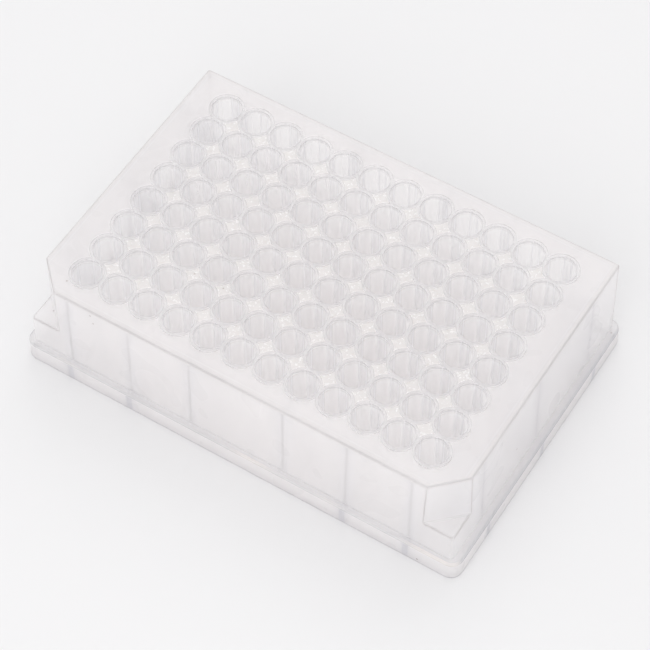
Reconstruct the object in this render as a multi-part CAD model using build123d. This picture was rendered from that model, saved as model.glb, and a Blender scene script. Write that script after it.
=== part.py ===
from build123d import *
import os
from math import radians, sqrt, tan

# A 96-place deep-well plate, moulded in one piece and open underneath.
# Millimetres. X runs along the long side, Y across it, Z up from the resting face.
# The two notched corners are at the front, on the -Y side.

# ---- overall sizes ----
footprint_x = 127.76
footprint_y = 85.48
plate_height = 32.0

# ---- the grid of wells ----
columns = 12
rows = 8
pitch = 9.0
wall_between_wells = 1.0
tube_wall = 0.65
tube_tip_z = 2.0
cone_height = 2.6
floor_thickness = 0.9

# ---- the raised lips round the wells ----
lip_width = 0.8
lip_height = 0.4

# ---- shell ----
wall = 1.3
deck_thickness = 1.3
deck_setback_x = 2.68
deck_setback_y = 2.09
wall_draft = 1.25
skirt_corner_r = 1.2
least_corner_r = 0.3
deck_edge_r = 0.5

# ---- the flange round the foot ----
flange_height = 6.1
flange_corner_r = 3.18
flange_edge_r = 0.8

# ---- the notched front corners ----
notch_leg = 7.8
notch_depth = 16.0

# ---- stiffening webs between the skirt and the tubes ----
web_thickness = 1.2
web_foot_clearance = 0.8
long_side_columns = (1.5, 3.5, 5.5)
tall_web_columns = (3.5, 5.5)
short_side_rows = (-3, 0, 3)

# ---- worked out from the sizes above ----
deck_x = footprint_x - 2 * deck_setback_x
deck_y = footprint_y - 2 * deck_setback_y
deck_z = plate_height - lip_height
deck_underside_z = deck_z - deck_thickness
deck_middle_z = deck_z - deck_thickness / 2
notch_ledge_z = deck_z - notch_depth
well_r = (pitch - wall_between_wells) / 2
tube_r = well_r + tube_wall
lip_r = well_r + lip_width
tube_cone_z = tube_tip_z + cone_height
floor_tip_z = tube_tip_z + floor_thickness
floor_cone_z = floor_tip_z + cone_height
well_places = GridLocations(pitch, pitch, columns, rows)
outer_well_x = pitch * (columns - 1) / 2
outer_well_y = pitch * (rows - 1) / 2


def plate_form(inset, top_z, foot_z):
    """The outside of the skirt and deck, drawn in by inset all round, from foot_z up to top_z."""
    grow = (deck_z - foot_z) * tan(radians(wall_draft)) - inset
    corner_r = max(skirt_corner_r - inset, least_corner_r)
    foot = Plane.XY.offset(foot_z) * RectangleRounded(deck_x + 2 * grow, deck_y + 2 * grow, corner_r)
    form = extrude(foot, amount=top_z - foot_z, taper=wall_draft)
    # the notch faces stand upright, so the inset moves them straight in
    leg = notch_leg + inset * sqrt(2)
    # far enough to carry the cut past the corner at any height
    reach = notch_leg + deck_setback_x + deck_setback_y
    for side in (-1, 1):
        corner_x = side * deck_x / 2
        corner_y = -deck_y / 2
        notch = Polyline(
            (corner_x - side * leg, corner_y),
            (corner_x, corner_y + leg),
            (corner_x + side * reach, corner_y + leg + reach),
            (corner_x + side * reach, corner_y - reach),
            (corner_x - side * (leg + reach), corner_y - reach),
            close=True,
        )
        ledge = Plane.XY.offset(notch_ledge_z - inset) * make_face(notch)
        form -= extrude(ledge, amount=plate_height)
    return form


def flange_form(inset, top_z):
    """The block that the foot flange is made from, drawn in by inset all round."""
    outline = RectangleRounded(footprint_x - 2 * inset, footprint_y - 2 * inset, flange_corner_r - inset)
    return extrude(outline, amount=top_z)


def cone_form(radius, tip_z, cone_z):
    """A cone that stands on its tip, the lower end of a tube or of a well."""
    profile = Polyline((0, tip_z), (radius, cone_z), (0, cone_z), close=True)
    return revolve(Plane.XZ * make_face(profile), Axis.Z)


def round_grid(radius, foot_z, top_z):
    """An upright round column at each well's place, all fused where they meet."""
    outline = Sketch() + [place * Circle(radius) for place in well_places]
    return extrude(Plane.XY.offset(foot_z) * outline, amount=top_z - foot_z)


def webs():
    """The stiffening webs, long enough to run into the skirt, to be trimmed to the outside form."""
    made = []
    tube_middle = (tube_r + well_r) / 2
    for column in long_side_columns:
        foot_z = web_foot_clearance if column in tall_web_columns else flange_height
        start_y = outer_well_y + tube_middle
        depth = footprint_y / 2 - start_y
        for x in (-column * pitch, column * pitch):
            for side in (-1, 1):
                place = Pos(x, side * (start_y + depth / 2), (foot_z + deck_underside_z) / 2)
                made.append(place * Box(web_thickness, depth, deck_underside_z - foot_z))
    # the webs of the short sides start in the seam between two tubes
    for row in short_side_rows:
        depth = footprint_x / 2 - outer_well_x
        for side in (-1, 1):
            x = side * (outer_well_x + depth / 2)
            place = Pos(x, row * pitch, (web_foot_clearance + deck_underside_z) / 2)
            made.append(place * Box(depth, web_thickness, deck_underside_z - web_foot_clearance))
    return made


# the outside, with its rounded edges
skirt = plate_form(0, deck_z, 0)
# every edge from the notch ledges up, round the deck, the notch faces and the ledges
upper_edges = [edge for edge in skirt.edges() if edge.bounding_box().min.Z > notch_ledge_z - deck_edge_r]
skirt = fillet(upper_edges, deck_edge_r)
flange = flange_form(0, flange_height)
flange = fillet(flange.edges().group_by(Axis.Z)[-1], flange_edge_r)
outside = skirt + flange

# the hollow under the deck, and the wider hollow inside the flange
hollow = plate_form(wall, deck_underside_z, 0) + flange_form(wall, flange_height - wall)
shell = outside - hollow

# webs are kept clear of the outside faces by trimming them to a form inside the wall
web_limit = plate_form(wall / 2, deck_z, 0) + flange_form(wall / 2, flange_height - wall / 2)
trimmed_webs = [web & web_limit for web in webs()]

lips = round_grid(lip_r, deck_middle_z, plate_height)
tubes = round_grid(tube_r, tube_cone_z, deck_middle_z)
tube_ends = [place * cone_form(tube_r, tube_tip_z, tube_cone_z) for place in well_places]
cavity = cone_form(well_r, floor_tip_z, floor_cone_z)
cavity += Pos(0, 0, (floor_cone_z + plate_height) / 2) * Cylinder(well_r, plate_height - floor_cone_z)
cavities = [place * cavity for place in well_places]

well_plate = shell + trimmed_webs + tubes + tube_ends + lips
well_plate = well_plate - cavities

os.makedirs("parts", exist_ok=True)
export_step(well_plate, "parts/well_plate.step")
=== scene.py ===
import math

import bpy
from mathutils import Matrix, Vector


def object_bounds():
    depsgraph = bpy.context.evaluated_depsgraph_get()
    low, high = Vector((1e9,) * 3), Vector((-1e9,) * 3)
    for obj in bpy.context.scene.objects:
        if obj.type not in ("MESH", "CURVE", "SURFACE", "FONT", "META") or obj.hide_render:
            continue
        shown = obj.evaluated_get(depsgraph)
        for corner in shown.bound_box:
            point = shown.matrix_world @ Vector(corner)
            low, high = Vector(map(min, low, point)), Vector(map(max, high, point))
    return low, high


# A 96-place deep-well plate of natural polypropylene, in one piece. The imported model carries
# the whole shape. This script sorts its faces into plastics by place and direction, and adds
# the floor, the light and the camera. Metres; the front long side with both notches is at -Y.

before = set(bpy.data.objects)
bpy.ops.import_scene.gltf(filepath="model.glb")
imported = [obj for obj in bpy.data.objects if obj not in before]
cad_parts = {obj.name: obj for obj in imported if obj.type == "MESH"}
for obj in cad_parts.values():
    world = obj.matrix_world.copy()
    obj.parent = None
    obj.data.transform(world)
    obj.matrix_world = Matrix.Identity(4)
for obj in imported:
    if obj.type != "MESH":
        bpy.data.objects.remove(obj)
cad_low, cad_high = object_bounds()
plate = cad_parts["well_plate"]

# ---- sizes of the plate ----
mm = 0.001
pitch = 9.0 * mm
columns, rows = 12, 8
well_r = 4.0 * mm
tube_r = 4.65 * mm
lip_height = 0.4 * mm
wall = 1.3 * mm
deck_setback_x = 2.68 * mm
deck_setback_y = 2.09 * mm
notch_depth = 16.0 * mm
flange_height = 6.1 * mm

# ---- worked out from the sizes above ----
deck_z = cad_high.z - lip_height
deck_half_x = cad_high.x - deck_setback_x
deck_half_y = cad_high.y - deck_setback_y
notch_ledge_z = deck_z - notch_depth
outer_well_x = pitch * (columns - 1) / 2
outer_well_y = pitch * (rows - 1) / 2
grid_x = outer_well_x + tube_r
grid_y = outer_well_y + tube_r
# half the width of the seam where two neighbouring tubes run into each other, on a well's wall
seam_half_width = math.sqrt(tube_r ** 2 - (pitch / 2) ** 2) * well_r / tube_r

# ---- places of the webs behind the skirt ----
web_spacing_long = 2 * pitch
first_long_web = 1.5 * pitch
tall_webs_from = 2.5 * pitch
web_spacing_short = 3 * pitch

# most of a noise value falls in this range
noise_low, noise_high = 0.3, 0.7

# ---- specks of dirt, placed from the photograph ----
DECK_SPECKS = (
    (-52.6 * mm, -36.0 * mm, deck_z),
    (50.2 * mm, -26.8 * mm, deck_z),
    (-27.0 * mm, -17.5 * mm, deck_z),
    (-18.5 * mm, -17.5 * mm, deck_z),
)
LONG_SIDE_SPECKS = (
    (-42.5 * mm, -40.7 * mm, 29.7 * mm),
    (-41.8 * mm, -40.8 * mm, 27.0 * mm),
    (-58.0 * mm, -36.5 * mm, notch_ledge_z),
    (53.0 * mm, -42.7 * mm, 1.2 * mm),
    (62.6 * mm, 38.5 * mm, flange_height),
)
SHORT_SIDE_SPECKS = (
    (61.6 * mm, -10.2 * mm, 14.6 * mm),
)


# ---- node helpers ----
def add(tree, kind, *sources, **settings):
    """A node with its inputs wired or set in order, and its properties set by name."""
    made = tree.nodes.new(kind)
    for name, value in settings.items():
        setattr(made, name, value)
    for socket, source in zip(made.inputs, sources):
        if isinstance(source, bpy.types.NodeSocket):
            tree.links.new(source, socket)
        elif source is not None:
            socket.default_value = source
    return made


def calc(tree, operation, *values, **settings):
    """The result of a math node."""
    return add(tree, "ShaderNodeMath", *values, operation=operation, **settings).outputs[0]


def mapped(tree, value, start, end, low, high, smooth=False):
    """A value carried from the range start to end onto the range low to high."""
    kind = "SMOOTHSTEP" if smooth else "LINEAR"
    made = add(tree, "ShaderNodeMapRange", value, start, end, low, high, interpolation_type=kind)
    return made.outputs["Result"]


def rise(tree, value, start, end, smooth=False):
    """A mask that goes from 0 at start to 1 at end."""
    return mapped(tree, value, start, end, 0.0, 1.0, smooth)


def fade(tree, value, full, gone, smooth=True):
    """A mask that goes from 1 at full to 0 at gone."""
    return mapped(tree, value, full, gone, 1.0, 0.0, smooth)


def distance(tree, value, middle):
    """How far a value is from the middle, either way."""
    return calc(tree, "ABSOLUTE", calc(tree, "SUBTRACT", value, middle))


def noise(tree, place, grains, detail=0.0):
    """A noise value with that many grains a metre."""
    made = add(tree, "ShaderNodeTexNoise", place)
    made.inputs["Scale"].default_value = grains
    made.inputs["Detail"].default_value = detail
    return made.outputs["Fac"]


def blend(tree, share, low, high):
    """A colour between two colours."""
    made = add(tree, "ShaderNodeMix", data_type="RGBA")
    # the mix node's inputs and output for colours
    share_input, low_input, high_input, colour_output = 0, 6, 7, 2
    for index, source in ((share_input, share), (low_input, low), (high_input, high)):
        if isinstance(source, bpy.types.NodeSocket):
            tree.links.new(source, made.inputs[index])
        else:
            made.inputs[index].default_value = source
    return made.outputs[colour_output]


def ramp(tree, value, *stops):
    """A value read off straight runs between the stops, each a place and a level."""
    made = add(tree, "ShaderNodeValToRGB", value)
    points = made.color_ramp.elements
    while len(points) < len(stops):
        points.new(1.0)
    for point, (place, level) in zip(points, stops):
        point.position = place
        point.color = rgb(level, level, level)
    return made.outputs["Color"]


def rgb(red, green, blue):
    return (red, green, blue, 1.0)


# ---- the plastic ----
class Plastic:
    """Natural polypropylene: clear to look through face on and milky at a slant."""

    ior = 1.49
    flow_grains = 60.0

    def __init__(self, name, dark, light):
        self.material = bpy.data.materials.new(name)
        self.material.use_nodes = True
        self.tree = self.material.node_tree
        self.shader = self.tree.nodes["Principled BSDF"]
        self.place = add(self.tree, "ShaderNodeTexCoord").outputs["Object"]
        axes = add(self.tree, "ShaderNodeSeparateXYZ", self.place)
        self.x, self.y, self.z = axes.outputs
        # slow changes of tint, as the melt flowed
        melt = noise(self.tree, self.place, self.flow_grains)
        flow = rise(self.tree, melt, noise_low, noise_high)
        self.tint = blend(self.tree, flow, rgb(*dark), rgb(*light))
        self.veil = None

    def stain_and_painted_light(self, mask, colour, cover):
        """Tints the plastic where the mask is 1, and makes it that much more opaque there; used
        both for real marks and for painted shade and highlights.
        """
        self.tint = blend(self.tree, mask, self.tint, rgb(*colour))
        weighed = calc(self.tree, "MULTIPLY", mask, cover)
        self.veil = weighed if self.veil is None else calc(self.tree, "ADD", self.veil, weighed)

    def specks(self, places, radius, colour):
        """Small specks of dirt, each a dot round its own place."""
        dots = None
        for place in places:
            span = add(self.tree, "ShaderNodeVectorMath", self.place, place, operation="DISTANCE")
            dot = fade(self.tree, span.outputs["Value"], 0.5 * radius, radius)
            dots = dot if dots is None else calc(self.tree, "MAXIMUM", dots, dot)
        self.stain_and_painted_light(dots, colour, cover=0.2)

    def skin(self, grains, depth, smooth, rough):
        """Faint waves in the moulded surface, that many a metre, glossier where they rise."""
        wave = noise(self.tree, self.place, grains)
        gloss = mapped(self.tree, wave, noise_low, noise_high, rough, smooth)
        self.tree.links.new(gloss, self.shader.inputs["Roughness"])
        bump = add(self.tree, "ShaderNodeBump")
        bump.inputs["Distance"].default_value = depth
        self.tree.links.new(wave, bump.inputs["Height"])
        self.tree.links.new(bump.outputs["Normal"], self.shader.inputs["Normal"])

    def finish(self, face_on, edge_on, through_share, roughness=0.3):
        """Wires the shaders: opacity face on and edge on, and the share of light let through."""
        tree = self.tree
        self.shader.inputs["Roughness"].default_value = roughness
        self.shader.inputs["IOR"].default_value = self.ior
        tree.links.new(self.tint, self.shader.inputs["Base Color"])
        solid = self.shader.outputs["BSDF"]
        through = add(tree, "ShaderNodeBsdfTranslucent", self.tint).outputs[0]
        body = add(tree, "ShaderNodeMixShader", through_share, solid, through).outputs[0]
        slant = add(tree, "ShaderNodeLayerWeight", 0.5).outputs["Facing"]
        opacity = mapped(tree, slant, 0.0, 1.0, face_on, edge_on)
        if self.veil is not None:
            opacity = calc(tree, "ADD", opacity, self.veil, use_clamp=True)
        clear = add(tree, "ShaderNodeBsdfTransparent").outputs[0]
        whole = add(tree, "ShaderNodeMixShader", opacity, clear, body).outputs[0]
        tree.links.new(whole, tree.nodes["Material Output"].inputs["Surface"])
        return self.material


def deck_plastic():
    """The deck, and the star-shaped patches that it fills between the wells."""
    made = Plastic("pp_deck", dark=(0.89, 0.87, 0.87), light=(0.91, 0.89, 0.89))
    tree = made.tree
    from_middle_x = calc(tree, "ABSOLUTE", made.x)
    from_middle_y = calc(tree, "ABSOLUTE", made.y)
    # the stars lie inside the ring of outer wells, and glint and pit in fine grains
    beyond_x = calc(tree, "SUBTRACT", from_middle_x, outer_well_x)
    beyond_y = calc(tree, "SUBTRACT", from_middle_y, outer_well_y)
    star = calc(tree, "LESS_THAN", calc(tree, "MAXIMUM", beyond_x, beyond_y), 0.0)
    made.stain_and_painted_light(star, (0.93, 0.91, 0.89), cover=0.0)
    grit = noise(tree, made.place, 1500.0, detail=1.0)
    glint = calc(tree, "MULTIPLY", star, rise(tree, grit, 0.60, 0.66))
    made.stain_and_painted_light(glint, (0.99, 0.985, 0.975), cover=0.1)
    pit = calc(tree, "MULTIPLY", star, rise(tree, grit, 0.36, 0.30))
    made.stain_and_painted_light(pit, (0.80, 0.77, 0.74), cover=0.1)
    # painted shade: a darker band follows the rim, and a faint darker line inside it stands for
    # the skirt's thickness under the deck
    inset_x = calc(tree, "SUBTRACT", deck_half_x, from_middle_x)
    inset_y = calc(tree, "SUBTRACT", deck_half_y, from_middle_y)
    inset = calc(tree, "MINIMUM", inset_x, inset_y)
    painted_rim_shade = fade(tree, inset, 0.8 * mm, 1.4 * mm)
    made.stain_and_painted_light(painted_rim_shade, (0.86, 0.84, 0.835), cover=0.1)
    painted_skirt_line = fade(tree, distance(tree, inset, wall + 0.2 * mm), 0.1 * mm, 0.35 * mm)
    made.stain_and_painted_light(painted_skirt_line, (0.875, 0.86, 0.86), cover=0.05)
    made.specks(DECK_SPECKS, 0.3 * mm, (0.50, 0.45, 0.42))
    made.skin(grains=250.0, depth=0.15 * mm, smooth=0.25, rough=0.38)
    return made.finish(face_on=0.62, edge_on=0.82, through_share=0.5)


def lip_plastic():
    """The level tops of the lips."""
    made = Plastic("pp_lip", dark=(0.87, 0.86, 0.86), light=(0.90, 0.89, 0.89))
    return made.finish(face_on=0.28, edge_on=0.55, through_share=0.6)


def rim_plastic():
    """The outer sides of the lips."""
    made = Plastic("pp_rim", dark=(0.90, 0.895, 0.90), light=(0.93, 0.925, 0.93))
    return made.finish(face_on=0.2, edge_on=0.5, through_share=0.6, roughness=0.25)


def to_long_web(made):
    """Distance to the nearest web of a long side; the middle webs stop above the flange."""
    tree = made.tree
    from_middle = calc(tree, "ABSOLUTE", made.x)
    from_first = calc(tree, "SUBTRACT", from_middle, first_long_web)
    across = calc(tree, "PINGPONG", from_first, web_spacing_long / 2)
    is_short = calc(tree, "LESS_THAN", from_middle, tall_webs_from)
    is_below = calc(tree, "LESS_THAN", made.z, flange_height)
    missing = calc(tree, "MULTIPLY", is_short, is_below)
    return calc(tree, "MULTIPLY_ADD", missing, web_spacing_long, across)


def to_short_web(made):
    """Distance to the nearest web of a short side."""
    return calc(made.tree, "PINGPONG", made.y, web_spacing_short / 2)


def wall_plastic(name, dark, light, to_web, web_shade_colour, specks):
    """A skirt wall and the flange below it, with painted shade in soft upright lines where the
    webs stand behind.
    """
    made = Plastic(name, dark, light)
    tree = made.tree
    flange = fade(tree, made.z, flange_height - 0.2 * mm, flange_height, smooth=False)
    made.stain_and_painted_light(flange, (0.985, 0.975, 0.975), cover=0.25)
    # painted shade: each web is a dark line in a faint halo, wider and darker down at the flange
    away = to_web(made)
    web_halo_shade = fade(tree, away, 0.0, 3.5 * mm)
    made.stain_and_painted_light(web_halo_shade, (0.95, 0.945, 0.955), cover=0.02)
    web_shade_line = fade(tree, away, 0.1 * mm, 0.6 * mm)
    made.stain_and_painted_light(web_shade_line, web_shade_colour, cover=0.1)
    web_foot_shade = calc(tree, "MULTIPLY", flange, fade(tree, away, 0.5 * mm, 1.2 * mm))
    made.stain_and_painted_light(web_foot_shade, (0.80, 0.80, 0.825), cover=0.1)
    # painted shade along the seat of the skirt on the flange and under the deck's brow, and a
    # painted contact shadow at the very foot
    seat_shade = fade(tree, distance(tree, made.z, flange_height + 0.25 * mm), 0.1 * mm, 0.45 * mm)
    made.stain_and_painted_light(seat_shade, (0.82, 0.82, 0.83), cover=0.1)
    brow_shade = rise(tree, made.z, deck_z - 1.3 * mm, deck_z - 0.4 * mm, smooth=True)
    made.stain_and_painted_light(brow_shade, (0.90, 0.885, 0.88), cover=0.05)
    foot_shadow = fade(tree, made.z, 0.1 * mm, 0.45 * mm)
    made.stain_and_painted_light(foot_shadow, (0.72, 0.71, 0.73), cover=0.1)
    made.specks(specks, 0.35 * mm, (0.50, 0.47, 0.46))
    made.skin(grains=120.0, depth=0.2 * mm, smooth=0.25, rough=0.38)
    return made.finish(face_on=0.42, edge_on=0.75, through_share=0.65)


def tube_plastic():
    """The inside of the wells, with painted shade at the seams with the next tubes and round the
    mouth.
    """
    made = Plastic("pp_tube", dark=(0.992, 0.984, 0.983), light=(1.0, 0.993, 0.992))
    tree = made.tree
    # half a pitch in line with the well middles and 0 between them; the seams lie in line
    in_line_x = calc(tree, "PINGPONG", made.x, pitch / 2)
    in_line_y = calc(tree, "PINGPONG", made.y, pitch / 2)
    in_line = calc(tree, "MAXIMUM", in_line_x, in_line_y)
    crease = pitch / 2 - seam_half_width
    across = rise(tree, in_line, crease - 0.3 * mm, pitch / 2)
    # painted shade: dark at the crease itself and a quarter as dark inside the seam
    seam_shade = ramp(tree, across, (0.0, 0.0), (0.15, 1.0), (0.3, 1.0), (0.45, 0.25))
    # the painted seam shade fades out downwards, where the light in a well is even
    upper = rise(tree, made.z, deck_z - 12 * mm, deck_z - 9 * mm)
    made.stain_and_painted_light(calc(tree, "MULTIPLY", seam_shade, upper), (0.82, 0.825, 0.845), cover=0.25)
    # painted shade round the mouth, a rim shadow under the lip
    mouth_shade = rise(tree, made.z, deck_z - 0.7 * mm, deck_z - 0.4 * mm)
    made.stain_and_painted_light(mouth_shade, (0.79, 0.78, 0.785), cover=0.38)
    return made.finish(face_on=0.05, edge_on=0.6, through_share=0.75, roughness=0.25)


def tube_outside_plastic():
    """The outside of the tubes and the underside of the deck between them."""
    made = Plastic("pp_tube_outside", dark=(0.992, 0.984, 0.983), light=(1.0, 0.993, 0.992))
    return made.finish(face_on=0.05, edge_on=0.6, through_share=0.75, roughness=0.25)


def inside_plastic():
    """The inner side of the skirt and deck, clear enough to show the webs and tubes."""
    made = Plastic("pp_inside", dark=(0.98, 0.97, 0.97), light=(0.995, 0.985, 0.985))
    return made.finish(face_on=0.25, edge_on=0.6, through_share=0.7)


def web_plastic():
    """The webs between the skirt and the tubes."""
    made = Plastic("pp_web", dark=(0.89, 0.89, 0.90), light=(0.91, 0.91, 0.92))
    return made.finish(face_on=0.6, edge_on=0.95, through_share=0.5)


def edge_plastic():
    """The rounded edges of the skirt, deck and notches, tinted dark as painted shade."""
    made = Plastic("pp_edge", dark=(0.70, 0.68, 0.68), light=(0.76, 0.74, 0.74))
    return made.finish(face_on=0.8, edge_on=0.95, through_share=0.5, roughness=0.15)


def flange_edge_plastic():
    """The rounded top of the flange, tinted dark as painted shade, darker on the short sides,
    with painted warm highlights in patches on the long sides.
    """
    made = Plastic("pp_flange_edge", dark=(0.78, 0.775, 0.78), light=(0.84, 0.835, 0.84))
    tree = made.tree
    from_middle = calc(tree, "ABSOLUTE", made.y)
    long_side = rise(tree, from_middle, cad_high.y - 3 * mm, cad_high.y - mm)
    short_side = calc(tree, "SUBTRACT", 1.0, long_side)
    # painted shade, darker on the short sides
    made.stain_and_painted_light(short_side, (0.70, 0.705, 0.725), cover=0.05)
    # painted warm highlights in patches on the long sides
    patches = rise(tree, noise(tree, made.place, 45.0), 0.52, 0.64)
    warm_highlight = calc(tree, "MULTIPLY", long_side, patches)
    made.stain_and_painted_light(warm_highlight, (0.97, 0.925, 0.89), cover=0.0)
    return made.finish(face_on=0.6, edge_on=0.85, through_share=0.5, roughness=0.2)


# ---- which plastic each face of the plate gets ----
DECK, LIP, LONG_WALL, SHORT_WALL, TUBE, WEB = range(6)
EDGE, RIM, FLANGE_EDGE, INSIDE, TUBE_OUTSIDE = range(6, 11)
hair = 0.1 * mm
# how far down from the deck's top, and in from its front side, a face counts as near it
deck_zone = 3 * mm
corner_zone = 3 * mm
# the middle of a web's face lies at least this far in from the footprint
web_inset = 4.5 * mm
# the skirt stays further out from the tubes than this
skirt_gap = 2.0 * mm
# a face whose normal's upward share is under the first stands upright, over the second is level
upright, level = 0.06, 0.97
# a face whose normal's share along an axis is over this looks straight along it
square_on = 0.999


def region(polygon):
    """The plastic's number for a face, from its place, its direction and the named sizes."""
    middle, normal = polygon.center, polygon.normal
    x, y, z = abs(middle.x), abs(middle.y), middle.z
    nx, ny, nz = (abs(share) for share in normal)
    near_deck = z > deck_z - deck_zone
    above_deck = z > deck_z + hair
    if x < grid_x and y < grid_y:
        from_well = math.hypot(x % pitch - pitch / 2, y % pitch - pitch / 2)
        in_well = from_well < well_r + hair
        if above_deck and nz < upright:
            return TUBE if in_well else RIM
        if above_deck and nz > level:
            return LIP
        if normal.z > level and near_deck:
            return DECK
        return TUBE if in_well and normal.z > -hair else TUBE_OUTSIDE
    if upright < nz < level:
        if z < flange_height + hair:
            return FLANGE_EDGE
        # the inside corner between a notch and its ledge, at 45 degrees, doesn't get the painted
        # edge shade
        across_corner = min(nx, ny) > 0.1 and abs(nx - ny) < 0.15
        return LONG_WALL if across_corner and not near_deck else EDGE
    if nz >= level:
        if near_deck:
            return DECK if normal.z > 0 else INSIDE
        return LONG_WALL
    behind_long_side = grid_y - hair < y < cad_high.y - web_inset
    behind_short_side = grid_x - hair < x < cad_high.x - web_inset
    if nx > square_on and behind_long_side and x < grid_x + skirt_gap:
        return WEB
    if ny > square_on and behind_short_side and y < grid_y:
        return WEB
    if normal.x * middle.x + normal.y * middle.y < 0:
        return INSIDE
    # rounded upright corners get the dark, painted-shade edge plastic above the flange, but not
    # below a notch's ledge;
    # the notch faces, at exactly 45 degrees, are walls
    below_notch = z < notch_ledge_z and y > deck_half_y - corner_zone and middle.y < 0
    turns_corner = min(nx, ny) > 0.05 and abs(nx - ny) > 0.02
    if turns_corner and z > flange_height and not below_notch:
        return EDGE
    return LONG_WALL if ny > nx else SHORT_WALL


plate.data.materials.clear()
for material in (
    deck_plastic(),
    lip_plastic(),
    wall_plastic(
        "pp_long_wall", dark=(0.975, 0.965, 0.965), light=(0.995, 0.985, 0.985),
        to_web=to_long_web, web_shade_colour=(0.80, 0.795, 0.80), specks=LONG_SIDE_SPECKS,
    ),
    wall_plastic(
        "pp_short_wall", dark=(0.965, 0.962, 0.967), light=(0.985, 0.982, 0.987),
        to_web=to_short_web, web_shade_colour=(0.80, 0.795, 0.81), specks=SHORT_SIDE_SPECKS,
    ),
    tube_plastic(),
    web_plastic(),
    edge_plastic(),
    rim_plastic(),
    flange_edge_plastic(),
    inside_plastic(),
    tube_outside_plastic(),
):
    plate.data.materials.append(material)
for polygon in plate.data.polygons:
    polygon.material_index = region(polygon)


# ---- the floor and the light ----
def floor_paint():
    """A pale matt paint, very slightly cloudy."""
    material = bpy.data.materials.new("studio_floor")
    material.use_nodes = True
    tree = material.node_tree
    shader = tree.nodes["Principled BSDF"]
    place = add(tree, "ShaderNodeTexCoord").outputs["Object"]
    cloud = rise(tree, noise(tree, place, 3.0, detail=2.0), noise_low, noise_high)
    tint = blend(tree, cloud, rgb(0.824, 0.823, 0.827), rgb(0.834, 0.833, 0.837))
    tree.links.new(tint, shader.inputs["Base Color"])
    shader.inputs["Roughness"].default_value = 0.9
    return material


def from_target(azimuth, elevation):
    """The direction from the target out to a light or the camera; azimuth 0 is the front, -Y."""
    a, e = math.radians(azimuth), math.radians(elevation)
    return Vector((math.sin(a) * math.cos(e), -math.cos(a) * math.cos(e), math.sin(e)))


def aim(thing, target, azimuth, elevation, away):
    """Places a thing that many metres from the target and turns it to look there."""
    out = from_target(azimuth, elevation)
    thing.location = target + out * away
    thing.rotation_euler = (-out).to_track_quat("-Z", "Y").to_euler()
    bpy.context.scene.collection.objects.link(thing)


def softbox(name, watts, azimuth, elevation):
    """A large square lamp that looks at the plate."""
    lamp = bpy.data.lights.new(name, "AREA")
    lamp.size = 0.9
    lamp.energy = watts
    aim(bpy.data.objects.new(name, lamp), Vector((0, 0, 0)), azimuth, elevation, away=1.2)


bpy.ops.mesh.primitive_plane_add(size=6.0, location=(0, 0, cad_low.z - 0.1 * mm))
floor = bpy.context.object
floor.name = "floor"
floor.data.materials.append(floor_paint())

world = bpy.data.worlds.new("studio")
bpy.context.scene.world = world
world.use_nodes = True
sky = world.node_tree.nodes["Background"]
sky.inputs["Color"].default_value = rgb(0.985, 0.98, 0.985)
sky.inputs["Strength"].default_value = 0.88

softbox("key", watts=3.6, azimuth=12, elevation=42)
softbox("back", watts=2.0, azimuth=-165, elevation=50)

# ---- the camera, at the photograph's angle ----
camera_data = bpy.data.cameras.new("camera")
camera_data.sensor_width = 36.0
camera_data.lens = 135.8
camera = bpy.data.objects.new("camera", camera_data)
camera_target = Vector((0.00427, -0.00664, 0.020))
aim(camera, camera_target, azimuth=31.89, elevation=54.43, away=0.6125)
bpy.context.scene.camera = camera

view = bpy.context.scene.view_settings
view.view_transform = "Standard"

# light passes through dozens of thin clear layers on its way through the plate
cycles = bpy.context.scene.cycles
cycles.use_light_tree = False
cycles.max_bounces = 48
cycles.diffuse_bounces = 48
cycles.transmission_bounces = 48
cycles.glossy_bounces = 2
cycles.transparent_max_bounces = 64
